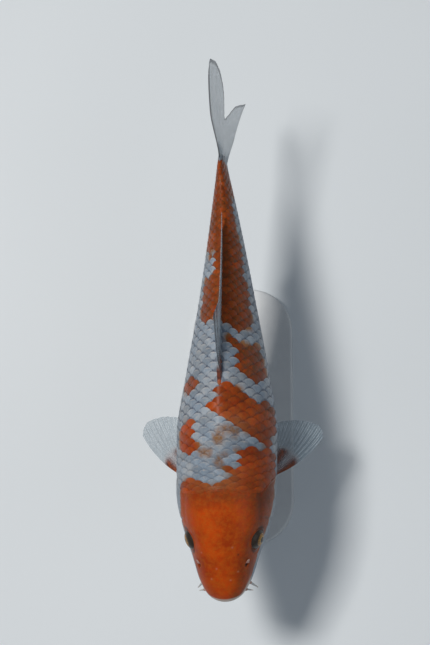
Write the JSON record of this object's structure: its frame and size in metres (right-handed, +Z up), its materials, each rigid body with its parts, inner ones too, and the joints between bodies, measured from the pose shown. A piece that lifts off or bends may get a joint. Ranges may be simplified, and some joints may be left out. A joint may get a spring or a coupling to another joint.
{
  "type": "koi carp model",
  "caption": "Life-size still model of a slim red-and-white koi carp, swimming level with fins spread, held over a flat base by rods.",
  "frame": {"origin": "centre of the underside of the stand's base", "axes": "+Z up, the fish faces -Y with its tail at +Y, and its left side is at +X"},
  "size_m": [0.1201, 0.343, 0.1762],
  "materials": {
    "skin": "wet satin skin and scales, orange-red on pearl white",
    "fin": "translucent membrane over fine rays",
    "eye": "polished, gold iris round a black pupil",
    "stand_base": "satin",
    "stand_rod": "satin"
  },
  "bodies": {
    "root": {"head": "skin", "lower_jaw": "skin", "gill_cover_left": "skin", "gill_cover_right": "skin", "trunk_front": "skin", "trunk_rear": "skin", "tail_stalk": "skin", "eye_left": "eye", "eye_right": "eye", "barbel_upper_left": "skin", "barbel_upper_right": "skin", "barbel_corner_left": "skin", "barbel_corner_right": "skin", "dorsal_fin": "fin", "anal_fin": "fin", "tail_fin_upper": "fin", "tail_fin_lower": "fin", "pectoral_fin_left": "fin", "pectoral_fin_right": "fin", "pelvic_fin_left": "fin", "pelvic_fin_right": "fin", "stand_base": "stand_base", "stand_rod_front": "stand_rod", "stand_rod_rear": "stand_rod"}
  },
  "joints": []
}
